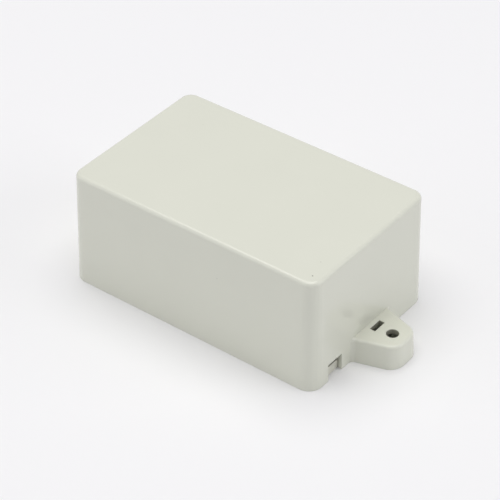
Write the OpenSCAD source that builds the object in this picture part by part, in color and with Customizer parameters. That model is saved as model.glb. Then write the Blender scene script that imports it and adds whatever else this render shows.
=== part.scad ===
// Wall-mount plastic project box: a deep moulded cover with a fixing ear at each end, and a base
// plate that snaps into the cover's rim from below.
// Frame: millimetres, +Z up, origin on the ground under the middle of the box, +X along its length.

/* [Cover] */
// Length over the end walls, at the rim
box_l = 82; // [74:1:120]
// Width over the long walls, at the rim
box_w = 52; // [46:1:80]
// Height from the rim to the top face
box_h = 35; // [22:1:60]
// Radius of the upright corners, at the rim
corner_r = 4.2; // [3.5:0.1:6]
// Radius of the edge round the top face
top_edge_r = 1.2; // [0.6:0.1:2]
// Lean of every moulded side, in degrees
draft = 1.25; // [0.5:0.25:2]
// Thickness of the side walls
wall = 2; // [1.8:0.1:2.6]
// Thickness of the top
roof = 2; // [1.6:0.1:3]

/* [Rim and base plate] */
// Thickness of the thinned rim that surrounds the plate
rim_wall = 1.2; // [0.9:0.1:1.5]
// Height of the plate's raised edge
plate_edge_h = 2.85; // [2.4:0.05:3.6]
// Width of the plate's raised edge
plate_edge_w = 1.4; // [1:0.1:2]
// Thickness of the plate's floor
plate_floor = 1.8; // [1.4:0.1:2.2]
// Clearance between the plate and the cover
fit_gap = 0.2; // [0.1:0.05:0.3]

/* [Fixing ears] */
// How far an ear reaches past the end wall
ear_reach = 12.1; // [11:0.1:16]
// Height of an ear
ear_h = 7.4; // [6.4:0.1:9]
// Width of an ear where it meets the wall
ear_root_w = 17.4; // [15:0.2:20]
// Radius of the two rounded corners of an ear's tip
ear_tip_r = 4.6; // [4:0.1:5.2]
// Flat length of the tip between its rounded corners
ear_nose = 3.3; // [1:0.1:5]
// Lean of an ear's own sides, in degrees
ear_draft = 3.5; // [0.5:0.25:4]
// Radius of the edge round an ear's top
ear_edge_r = 0.9; // [0.6:0.1:1.3]
// Radius of the hollow corner between an ear and the wall
ear_root_r = 1.8; // [1:0.1:2.2]
// Thickness of an ear's top and of its skirt
ear_skin = 1.8; // [1.4:0.1:2]
// Diameter of the fixing hole
hole_d = 3.5; // [2.5:0.1:4.2]
// Distance from the wall to the middle of the fixing hole
hole_from_wall = 7; // [6.4:0.1:8]

/* [Catch slots] */
// Length of the slot in an ear's top, along the wall
slot_l = 4.45; // [3.5:0.05:6]
// Width of the slot, away from the wall
slot_w = 1.7; // [1.2:0.1:2]
// Distance from the wall to the slot
slot_from_wall = 1.1; // [0.8:0.1:1.4]
// How far the slot and its catch lie off the middle of the end wall
slot_shift = 0.2; // [0:0.1:1]

/* [Catches] */
// Height of the sill that a catch hooks over, above the plate's edge
sill_h = 0.8; // [0.6:0.1:1.2]
// Thickness of a catch's tongue
tongue_t = 1.2; // [1:0.1:1.6]
// How far a catch's barb stands out of its tongue
barb_reach = 1; // [0.7:0.1:1.2]

/* [Prying notches] */
// Width of the notch in the rim
notch_w = 5.95; // [4.5:0.05:7]
// Height of the notch
notch_h = 5.4; // [4.5:0.1:7]
// Distance from the long wall to the notch
notch_from_side = 7.2; // [6:0.1:9]

/* [Board posts] */
// Outer diameter of a post
post_d = 5; // [4.4:0.1:6]
// Height of a post above the plate's floor
post_h = 4; // [3:0.5:8]
// Diameter of a post's screw hole
pilot_d = 2.2; // [1.8:0.1:2.6]
// Depth of a post's screw hole
pilot_depth = 4; // [2.5:0.5:5]
// Distance from the plate's edge to the middle of a post
post_inset = 7.6; // [7:0.2:12]

/* [Hidden] */
$fn = 64;
// Flat steps that an edge's quarter round is drawn in
edge_steps = 8;
// How far a cut runs past the face it opens
over = 1;
// How far a solid that fills others keeps inside their edges
bite = 0.2;
// How far a hollow corner is drawn back, so that it crosses the sides it runs into
sink = 0.03;
shell_colour = [0.87, 0.87, 0.83];
plate_colour = [0.84, 0.84, 0.80];

// Cover: its inside, and the rebate that takes the plate
end_x = box_l / 2;
side_y = box_w / 2;
rebate_h = plate_edge_h + fit_gap;
inner_edge_r = top_edge_r / 2;

// Plate: its outline lies the clearance inside the rim
plate_in = rim_wall + fit_gap;
plate_l = box_l - 2 * plate_in;
plate_w = box_w - 2 * plate_in;
plate_r = corner_r - plate_in;

// Ear: the middles of its tip corners, and the taper of its sides that are tangent to them
tip_x = end_x + ear_reach - ear_tip_r;
tip_y = ear_nose / 2;
root_y = ear_root_w / 2;
root_to_tip = [tip_x - end_x, tip_y - root_y];
taper = -atan2(root_to_tip.y, root_to_tip.x) - asin(ear_tip_r / norm(root_to_tip));
hole_x = end_x + hole_from_wall;
// The ear is rooted in the middle of the thinned rim
anchor_x = end_x - rim_wall / 2;
// Middle of the hollow corner, one radius from the wall and from the ear's side
root_mid = [end_x + ear_root_r, root_y + ear_root_r * (1 - sin(taper)) / cos(taper)];
// Straight length of an ear's side, between its tip corner and its hollow corner
side_l = sqrt(root_to_tip * root_to_tip - pow(ear_tip_r, 2)) - root_mid.y + root_y;
hollow_h = ear_h - ear_skin;
// How far the ear's core stays inside its outline, to end under the flat of its top
core_in = ear_h * tan(ear_draft) + ear_edge_r + bite;

// Catches: the barb hooks over the sill, in a window as wide as the slot
sill_z = rebate_h + sill_h;
barb_z = sill_z + fit_gap;
barb_top = hollow_h - fit_gap;
tongue_top = barb_top + tongue_t / 2;
tongue_w = slot_l - 2 * fit_gap;
tongue_x = end_x - wall - tongue_top * tan(draft) - fit_gap;
post_x = plate_l / 2 - post_inset;
post_y = plate_w / 2 - post_inset;

// Points of a moulded block's edge, from its leaning side round to its flat top.
// out: how far the side stands out at the bottom. The round is tangent to the side and to the top.
function edge_round(out, high, edge, lean) =
    edge == 0 ? [[out - high * tan(lean), high]] :
    let (mid = [out - (high - edge) * tan(lean) - edge / cos(lean), high - edge])
    [for (i = [0:edge_steps]) let (a = lean + (90 - lean) * i / edge_steps)
        mid + edge * [cos(a), sin(a)]];

// Section of a block's side, from "back" behind its axis out to "out" in front of it
module side_section(out, high, edge, lean, back = 0) {
    polygon(concat([[-back, 0], [out, 0]], edge_round(out, high, edge, lean), [[-back, high]]));
}

// Half section on the hollow side of a corner: material lies beyond the radius, "deep" thick
module hollow_section(radius, deep, high, edge, lean) {
    round_out = [for (p = edge_round(0, high, edge, lean)) [radius - p.x, p.y]];
    polygon(concat([[radius + deep, 0], [radius, 0]], round_out, [[radius + deep, high]]));
}

// A straight run of a section, along the line that "heading" turns from +Y
module run(length, heading = 0) {
    rotate([0, 0, heading]) translate([0, length, 0]) rotate([90, 0, 0])
        linear_extrude(length) children();
}

// A box with leaning sides, rounded upright corners and a rounded top edge, made of runs along
// its sides and quarter turns at its corners
module moulded_block(l, w, high, r, edge, lean) {
    x = l / 2 - r;
    y = w / 2 - r;
    for (turn = [0, 180]) rotate([0, 0, turn]) {
        translate([x, y, 0]) run(2 * x, 90) side_section(r, high, edge, lean, y + bite);
        translate([x, -y, 0]) run(2 * y) side_section(r, high, edge, lean, bite);
        for (end = [0, 1]) translate([x, (2 * end - 1) * y, 0])
            rotate([0, 0, 90 * end - 90]) rotate_extrude(angle = 90)
                side_section(r, high, edge, lean);
    }
}

// Points of one side of an ear's outline moved in by "inset", from its nose round to from_x
function ear_side(inset, from_x) =
    let (out = ear_tip_r - inset)
    let (turn = [for (i = [0:edge_steps]) let (a = (90 - taper) * i / edge_steps)
        [tip_x, tip_y] + out * [cos(a), sin(a)]])
    let (last = turn[edge_steps])
    concat(turn, [[from_x, last.y + (last.x - from_x) * tan(taper)]]);

// Upright block with an ear's outline, moved in by "inset"
module ear_prism(inset, high, from_x) {
    side = ear_side(inset, from_x);
    linear_extrude(high)
        polygon(concat(side, [for (i = [len(side) - 1:-1:0]) [side[i].x, -side[i].y]]));
}

// The ear without its hollow corners: runs and turns of its section round a core
module ear_block() {
    translate([tip_x, -tip_y, 0]) run(ear_nose) ear_section();
    for (s = [0, 1]) mirror([0, s, 0]) translate([tip_x, tip_y, 0]) {
        rotate_extrude(angle = 90 - taper) ear_section();
        rotate([0, 0, 90 - taper]) run(side_l + bite) ear_section();
    }
    ear_prism(core_in, ear_h, anchor_x);
}

module ear_section() {
    side_section(ear_tip_r, ear_h, ear_edge_r, ear_draft);
}

// The hollow corner between one side of the ear and the end wall
module ear_root() {
    // Deep enough to reach the ear's core where that enters the wall
    deep = norm([ear_root_r, ear_root_r + core_in]) - ear_root_r + bite;
    translate([root_mid.x, root_mid.y, 0]) rotate([0, 0, 180])
        rotate_extrude(angle = 90 - taper)
            hollow_section(ear_root_r + sink, deep, ear_h, ear_edge_r, ear_draft);
}

// What each end of the cover adds outside its wall
module ear() {
    ear_block();
    for (s = [0, 1]) mirror([0, s, 0]) ear_root();
}

// What each end cuts away: the ear's hollow, its hole and slot, the catch window and the notch
module end_cuts() {
    translate([0, 0, -over]) ear_prism(ear_skin, hollow_h + over, end_x + bite);
    translate([hole_x, 0, 0]) cylinder(d = hole_d, h = ear_h + over);
    translate([end_x + slot_from_wall, slot_shift - slot_l / 2, hollow_h - over])
        cube([slot_w, slot_l, ear_skin + 2 * over]);
    translate([end_x - 2 * wall, slot_shift - slot_l / 2, sill_z])
        cube([2 * wall + 2 * bite, slot_l, hollow_h - sill_z]);
    translate([end_x - 2 * wall, notch_from_side - side_y, -over])
        cube([2 * wall + over, notch_w, notch_h + over]);
}

// Deep cover, moulded in one piece with its two ears
module cover() {
    color(shell_colour)
        difference() {
            union() {
                moulded_block(box_l, box_w, box_h, corner_r, top_edge_r, draft);
                for (turn = [0, 180]) rotate([0, 0, turn]) ear();
            }
            moulded_block(box_l - 2 * wall, box_w - 2 * wall, box_h - roof, corner_r - wall,
                inner_edge_r, draft);
            translate([0, 0, -over])
                moulded_block(box_l - 2 * rim_wall, box_w - 2 * rim_wall, rebate_h + over,
                    corner_r - rim_wall, 0, 0);
            for (turn = [0, 180]) rotate([0, 0, turn]) end_cuts();
        }
}

// Tongue that stands up from the plate beside the end wall, with a barb that hooks over the sill
module catch() {
    translate([0, slot_shift - tongue_w / 2, 0])
        run(tongue_w) polygon([
            [tongue_x - tongue_t, 0], [tongue_x, 0], [tongue_x, barb_z],
            [tongue_x + barb_reach, barb_z], [tongue_x + barb_reach, barb_z + fit_gap],
            [tongue_x, barb_top], [tongue_x - tongue_t / 2, tongue_top],
            [tongue_x - tongue_t, tongue_top]]);
}

// Flat base plate with a raised edge, two catches and four posts for a circuit board
module base_plate() {
    color(plate_colour)
        difference() {
            union() {
                difference() {
                    moulded_block(plate_l, plate_w, plate_edge_h, plate_r, 0, 0);
                    translate([0, 0, plate_floor])
                        moulded_block(plate_l - 2 * plate_edge_w, plate_w - 2 * plate_edge_w,
                            plate_edge_h, plate_r - plate_edge_w, 0, 0);
                }
                for (turn = [0, 180]) rotate([0, 0, turn]) catch();
                for (x = [-post_x, post_x], y = [-post_y, post_y])
                    translate([x, y, 0]) cylinder(d = post_d, h = plate_floor + post_h);
            }
            for (x = [-post_x, post_x], y = [-post_y, post_y])
                translate([x, y, plate_floor + post_h - pilot_depth])
                    cylinder(d = pilot_d, h = pilot_depth + over);
        }
}

cover();
base_plate();
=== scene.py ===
"""A wall-mount plastic project box, standing on a pale studio floor.

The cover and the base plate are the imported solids. Here they get the small rounds that a mould
leaves on every edge, and the fine spark-eroded finish of warm grey ABS.
"""

from math import cos, radians, sin

import bpy
from mathutils import Matrix, Vector

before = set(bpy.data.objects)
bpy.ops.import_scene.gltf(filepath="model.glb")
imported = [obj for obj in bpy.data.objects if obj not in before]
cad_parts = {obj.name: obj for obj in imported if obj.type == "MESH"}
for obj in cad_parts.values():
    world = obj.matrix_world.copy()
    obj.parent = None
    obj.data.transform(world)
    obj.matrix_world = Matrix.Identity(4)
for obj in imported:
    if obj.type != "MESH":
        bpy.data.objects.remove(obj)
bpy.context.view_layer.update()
scene = bpy.context.scene
scene.view_settings.view_transform = "Standard"
MM = 0.001

# ---------------------------------------------------------------------------------------------
# Floor: a seamless sheet of matte white studio paper, far wider than the view, so that nothing
# but paper shows under and behind the box.
# ---------------------------------------------------------------------------------------------
PAPER_REACH = 8.0
PAPER_WHITE = (0.9, 0.9, 0.9, 1)


def wire(tree, kind, sockets, **settings):
    """Adds a shader node. A socket named in sockets gets a link or a set value."""
    node = tree.nodes.new("ShaderNode" + kind)
    for name, value in settings.items():
        setattr(node, name, value)
    for name, value in sockets.items():
        if isinstance(value, bpy.types.NodeSocket):
            tree.links.new(value, node.inputs[name])
        else:
            node.inputs[name].default_value = value
    return node


paper = bpy.data.materials.new("white_paper")
paper.use_nodes = True
paper_shader = paper.node_tree.nodes["Principled BSDF"]
paper_shader.inputs["Base Color"].default_value = PAPER_WHITE
paper_shader.inputs["Roughness"].default_value = 1.0
paper_shader.inputs["Specular IOR Level"].default_value = 0.0

floor_mesh = bpy.data.meshes.new("floor")
floor_corners = [(-1, -1, 0), (1, -1, 0), (1, 1, 0), (-1, 1, 0)]
floor_mesh.from_pydata(floor_corners, [], [(0, 1, 2, 3)])
floor_mesh.transform(Matrix.Scale(PAPER_REACH, 4))
floor_mesh.materials.append(paper)
floor = bpy.data.objects.new("floor", floor_mesh)
scene.collection.objects.link(floor)

# ---------------------------------------------------------------------------------------------
# Room: dim, evenly lit, slightly cool walls. They light the box from all round and show in its
# sheen, and where the camera sees them straight on they look as pale as the floor.
# ---------------------------------------------------------------------------------------------
ROOM_LIGHT = (0.34, 0.336, 0.375, 1)
ROOM_SEEN = (0.88, 0.88, 0.88, 1)

room = bpy.data.worlds.new("studio_room")
room.use_nodes = True
room_tree = room.node_tree
rays = wire(room_tree, "LightPath", {})
lit = wire(room_tree, "Background", {"Color": ROOM_LIGHT})
pale = wire(room_tree, "Background", {"Color": ROOM_SEEN})
wall = wire(room_tree, "MixShader",
            {0: rays.outputs["Is Camera Ray"], 1: lit.outputs[0], 2: pale.outputs[0]})
room_tree.links.new(wall.outputs[0], room_tree.nodes["World Output"].inputs["Surface"])
scene.world = room

# ---------------------------------------------------------------------------------------------
# Lamps: one broad softbox overhead, and two weak ones that look in low from opposite sides.
# ---------------------------------------------------------------------------------------------


def softbox(name, place, size, power, colour=(1, 1, 1)):
    """A round, diffused lamp that faces the origin. Sizes in metres, power in watts."""
    lamp = bpy.data.lights.new(name, "AREA")
    lamp.shape = "DISK"
    lamp.size = size
    lamp.energy = power
    lamp.color = colour
    holder = bpy.data.objects.new(name, lamp)
    holder.location = place
    holder.rotation_euler = Vector(place).to_track_quat("Z", "Y").to_euler()
    scene.collection.objects.link(holder)


softbox("overhead_softbox", (-0.11, 0, 1.28), 1.45, 12.35, (1.0, 0.995, 0.96))
softbox("right_softbox", (1.04, 0.43, 0.5), 0.9, 2.8)
softbox("left_softbox", (-0.85, -0.85, 0.5), 0.9, 1.8)

# ---------------------------------------------------------------------------------------------
# Camera: a long lens that looks down on the box's near corner, over its +X ear.
# ---------------------------------------------------------------------------------------------
CAMERA_AZIMUTH = radians(37.436)
CAMERA_ELEVATION = radians(37.767)
CAMERA_ROLL = radians(0.013)
CAMERA_DISTANCE = 0.57569
CAMERA_AIM = Vector((4.404, -4.708, 17.462)) * MM
LENS = 154.44

camera_back = Vector((
    sin(CAMERA_AZIMUTH) * cos(CAMERA_ELEVATION),
    -cos(CAMERA_AZIMUTH) * cos(CAMERA_ELEVATION),
    sin(CAMERA_ELEVATION)))
camera_data = bpy.data.cameras.new("camera")
camera_data.lens = LENS
camera = bpy.data.objects.new("camera", camera_data)
camera.matrix_world = (
    Matrix.Translation(CAMERA_AIM + CAMERA_DISTANCE * camera_back)
    @ camera_back.to_track_quat("Z", "Y").to_matrix().to_4x4()
    @ Matrix.Rotation(CAMERA_ROLL, 4, "Z"))
scene.collection.objects.link(camera)
scene.camera = camera

# ---------------------------------------------------------------------------------------------
# Cover: the deep shell with its two ears, injection-moulded in one piece from warm grey ABS in a
# spark-eroded tool. A few dark specks lie in its top and in one long side.
# ---------------------------------------------------------------------------------------------
COVER_GREY = (0.735, 0.746, 0.643)
COVER_EDGE = 0.12 * MM
EAR_ROOT = (41.85 * MM, 7.75 * MM, 0)
ROOT_REACH = 0.95 * MM
ROOT_STEP = 0.12 * MM
# Centre and radius of each speck, and how dark it is
SPECKS = [
    (Vector((37.1, -21.55, 35)) * MM, 0.24 * MM, 0.75),
    (Vector((35.4, -15.7, 35)) * MM, 0.2 * MM, 0.25),
    (Vector((-26.5, 14.3, 35)) * MM, 0.2 * MM, 0.12),
    (Vector((9.5, -25.5, 23.3)) * MM, 0.2 * MM, 0.22),
]
SPECK_BROWN = (0.1, 0.085, 0.06, 1)
# Share of a speck's radius that is dark all through, before it fades
SPECK_CORE = 0.6
# Where an ear's hole and slot pass through its top, and the darker grey painted on their walls as the
# shade that falls inside them
CORE_CENTRE = (45.9 * MM, 0, 0)
CORE_REACH = 4.5 * MM
CORE_MIDDLE = 6.43 * MM
CORE_HALF_HEIGHT = 0.77 * MM
BORE_SHADE_GREY = (0.42, 0.42, 0.34, 1)
# Faces that meet at a smaller angle than the first are one face, and at a larger one than the
# second are an edge
FLAT_ANGLE = radians(0.6)
EDGE_ANGLE = radians(30)
# How far across the grain, the ripple and the patches of colour are, and how high the first two
GRAIN = 0.16 * MM
GRAIN_HEIGHT = 0.003 * MM
RIPPLE = 7 * MM
RIPPLE_HEIGHT = 0.012 * MM
PATCH = 18 * MM
# Roughness where a patch is at its glossiest and at its dullest, and how far the grey strays
GLOSSY = 0.125
DULL = 0.175
STRAY = 0.015


def geometry_nodes(name):
    """A new tree of geometry nodes, with its input and output geometry sockets."""
    tree = bpy.data.node_groups.new(name, "GeometryNodeTree")
    for way in ("INPUT", "OUTPUT"):
        tree.interface.new_socket("Geometry", in_out=way, socket_type="NodeSocketGeometry")
    start = tree.nodes.new("NodeGroupInput").outputs[0]
    return tree, start, tree.nodes.new("NodeGroupOutput").inputs[0]


def level_distance(tree, place, centre):
    """How far a place is, seen from above, from a centre or the nearest of its mirror images."""
    folded = wire(tree, "VectorMath", {0: place}, operation="ABSOLUTE")
    level = wire(tree, "VectorMath", {0: folded.outputs[0], 1: (1, 1, 0)}, operation="MULTIPLY")
    return wire(tree, "VectorMath", {0: level.outputs[0], 1: centre},
                operation="DISTANCE").outputs["Value"]


def from_root(tree):
    """How far a point is, seen from above, from the foot of the nearest ear's hollow corner."""
    place = tree.nodes.new("GeometryNodeInputPosition").outputs[0]
    return level_distance(tree, place, EAR_ROOT)


def joined_triangles():
    """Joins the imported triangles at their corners, and evens out the short steps in a root."""
    tree, shape, result = geometry_nodes("joined_triangles")
    near = wire(tree, "Math", {0: from_root(tree), 1: ROOT_REACH}, operation="LESS_THAN")
    for reach, chosen in ((0.001 * MM, None), (ROOT_STEP, near.outputs[0])):
        merge = tree.nodes.new("GeometryNodeMergeByDistance")
        merge.inputs["Distance"].default_value = reach
        tree.links.new(shape, merge.inputs["Geometry"])
        if chosen:
            tree.links.new(chosen, merge.inputs["Selection"])
        shape = merge.outputs["Geometry"]
    tree.links.new(shape, result)
    return tree


def proud_edges():
    """Gives a bevel weight of 1 to the sharp edges that stand proud, away from the roots, and
    marks the sharp edges that lie in a corner, so that no shading runs over them."""
    tree, shape, result = geometry_nodes("proud_edges")
    angle = tree.nodes.new("GeometryNodeInputMeshEdgeAngle").outputs["Signed Angle"]
    proud = wire(tree, "Math", {0: angle, 1: EDGE_ANGLE}, operation="GREATER_THAN")
    away = wire(tree, "Math", {0: from_root(tree), 1: ROOT_REACH}, operation="GREATER_THAN")
    weight = wire(tree, "Math", {0: proud.outputs[0], 1: away.outputs[0]}, operation="MULTIPLY")
    sunk = wire(tree, "Math", {0: angle, 1: -EDGE_ANGLE}, operation="LESS_THAN")
    crease = wire(tree, "Math", {0: sunk.outputs[0], 1: away.outputs[0]}, operation="MULTIPLY")
    for name, kind, value in (("bevel_weight_edge", "FLOAT", weight),
                              ("sharp_edge", "BOOLEAN", crease)):
        mark = tree.nodes.new("GeometryNodeStoreNamedAttribute")
        mark.domain = "EDGE"
        mark.data_type = kind
        mark.inputs["Name"].default_value = name
        tree.links.new(value.outputs[0], mark.inputs["Value"])
        tree.links.new(shape, mark.inputs["Geometry"])
        shape = mark.outputs["Geometry"]
    tree.links.new(shape, result)
    return tree


JOINED_TRIANGLES = joined_triangles()
PROUD_EDGES = proud_edges()


def moulded_edges(piece, radius):
    """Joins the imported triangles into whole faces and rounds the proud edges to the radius."""
    piece.modifiers.new("join", "NODES").node_group = JOINED_TRIANGLES
    flats = piece.modifiers.new("flats", "DECIMATE")
    flats.decimate_type = "DISSOLVE"
    flats.angle_limit = FLAT_ANGLE
    piece.modifiers.new("edges", "NODES").node_group = PROUD_EDGES
    rounds = piece.modifiers.new("rounds", "BEVEL")
    rounds.width = radius
    rounds.segments = 3
    rounds.limit_method = "WEIGHT"
    rounds.use_clamp_overlap = False
    shading = piece.modifiers.new("shading", "WEIGHTED_NORMAL")
    shading.weight = 50
    shading.keep_sharp = True


def mixed_colour(tree, share, first, second):
    """The colour between two others, at that share of the way from the first to the second."""
    return wire(tree, "Mix", {0: share, 6: first, 7: second}, data_type="RGBA").outputs[2]


def bore_shade_mask(tree, place):
    """1 on the walls of the ears' holes and slots, where shade is painted, and 0 everywhere else on
    the cover.
    """
    away = level_distance(tree, place, CORE_CENTRE)
    near = wire(tree, "Math", {0: away, 1: CORE_REACH}, operation="LESS_THAN")
    height = wire(tree, "SeparateXYZ", {0: place}).outputs[2]
    within = wire(tree, "Math", {0: height, 1: CORE_MIDDLE, 2: CORE_HALF_HEIGHT},
                  operation="COMPARE")
    return wire(tree, "Math", {0: near.outputs[0], 1: within.outputs[0]},
                operation="MULTIPLY").outputs[0]


def moulded_plastic(name, grey, specks=(), bore_shade=False):
    """Warm grey plastic from a spark-eroded tool: a fine even grain, a faint ripple where the
    skin shrank, slightly uneven colour and gloss, and any dark specks. When the last argument is
    set, shade is painted on the walls of the ears' holes and slots as a darker grey."""
    material = bpy.data.materials.new(name)
    material.use_nodes = True
    tree = material.node_tree
    shader = tree.nodes["Principled BSDF"]
    shader.inputs["IOR"].default_value = 1.54
    place = wire(tree, "TexCoord", {}).outputs["Object"]

    grain = wire(tree, "TexNoise", {"Vector": place, "Scale": 1 / GRAIN, "Detail": 2.0})
    ripple = wire(tree, "TexNoise", {"Vector": place, "Scale": 1 / RIPPLE, "Detail": 1.0})
    patches = wire(tree, "TexNoise", {"Vector": place, "Scale": 1 / PATCH, "Detail": 3.0})

    grain_height = wire(tree, "Math", {0: grain.outputs["Fac"], 1: GRAIN_HEIGHT},
                        operation="MULTIPLY")
    height = wire(tree, "Math", {0: ripple.outputs["Fac"], 1: RIPPLE_HEIGHT,
                                 2: grain_height.outputs[0]}, operation="MULTIPLY_ADD")
    relief = wire(tree, "Bump", {"Height": height.outputs[0], "Distance": 1.0})
    tree.links.new(relief.outputs["Normal"], shader.inputs["Normal"])

    gloss = wire(tree, "MapRange", {"Value": patches.outputs["Fac"], "From Min": 0.3,
                                    "From Max": 0.7, "To Min": GLOSSY, "To Max": DULL})
    tree.links.new(gloss.outputs[0], shader.inputs["Roughness"])

    colour = mixed_colour(tree, patches.outputs["Fac"], (*[(1 - STRAY) * c for c in grey], 1),
                          (*[(1 + STRAY) * c for c in grey], 1))
    for centre, radius, depth in specks:
        away = wire(tree, "VectorMath", {0: place, 1: centre}, operation="DISTANCE")
        mark = wire(tree, "MapRange", {"Value": away.outputs["Value"], "From Min": SPECK_CORE * radius,
                                       "From Max": radius, "To Min": depth, "To Max": 0.0})
        colour = mixed_colour(tree, mark.outputs[0], colour, SPECK_BROWN)
    # Painted shade: the walls of the ears' holes and slots get a darker grey
    if bore_shade:
        colour = mixed_colour(tree, bore_shade_mask(tree, place), colour, BORE_SHADE_GREY)
    tree.links.new(colour, shader.inputs["Base Color"])
    return material


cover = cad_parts["cover"]
cover.data.materials.clear()
# The cover's material paints shade on the walls of its ears' holes and slots
cover.data.materials.append(moulded_plastic("cover_abs", COVER_GREY, SPECKS, bore_shade=True))
moulded_edges(cover, COVER_EDGE)

# ---------------------------------------------------------------------------------------------
# Base plate: the flat snap-in bottom with its catches and board posts, moulded from the same
# grey ABS in another tool, and a shade darker.
# ---------------------------------------------------------------------------------------------
PLATE_GREY = (0.70, 0.70, 0.60)
PLATE_EDGE = 0.1 * MM

base_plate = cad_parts["base_plate"]
base_plate.data.materials.clear()
base_plate.data.materials.append(moulded_plastic("plate_abs", PLATE_GREY))
moulded_edges(base_plate, PLATE_EDGE)
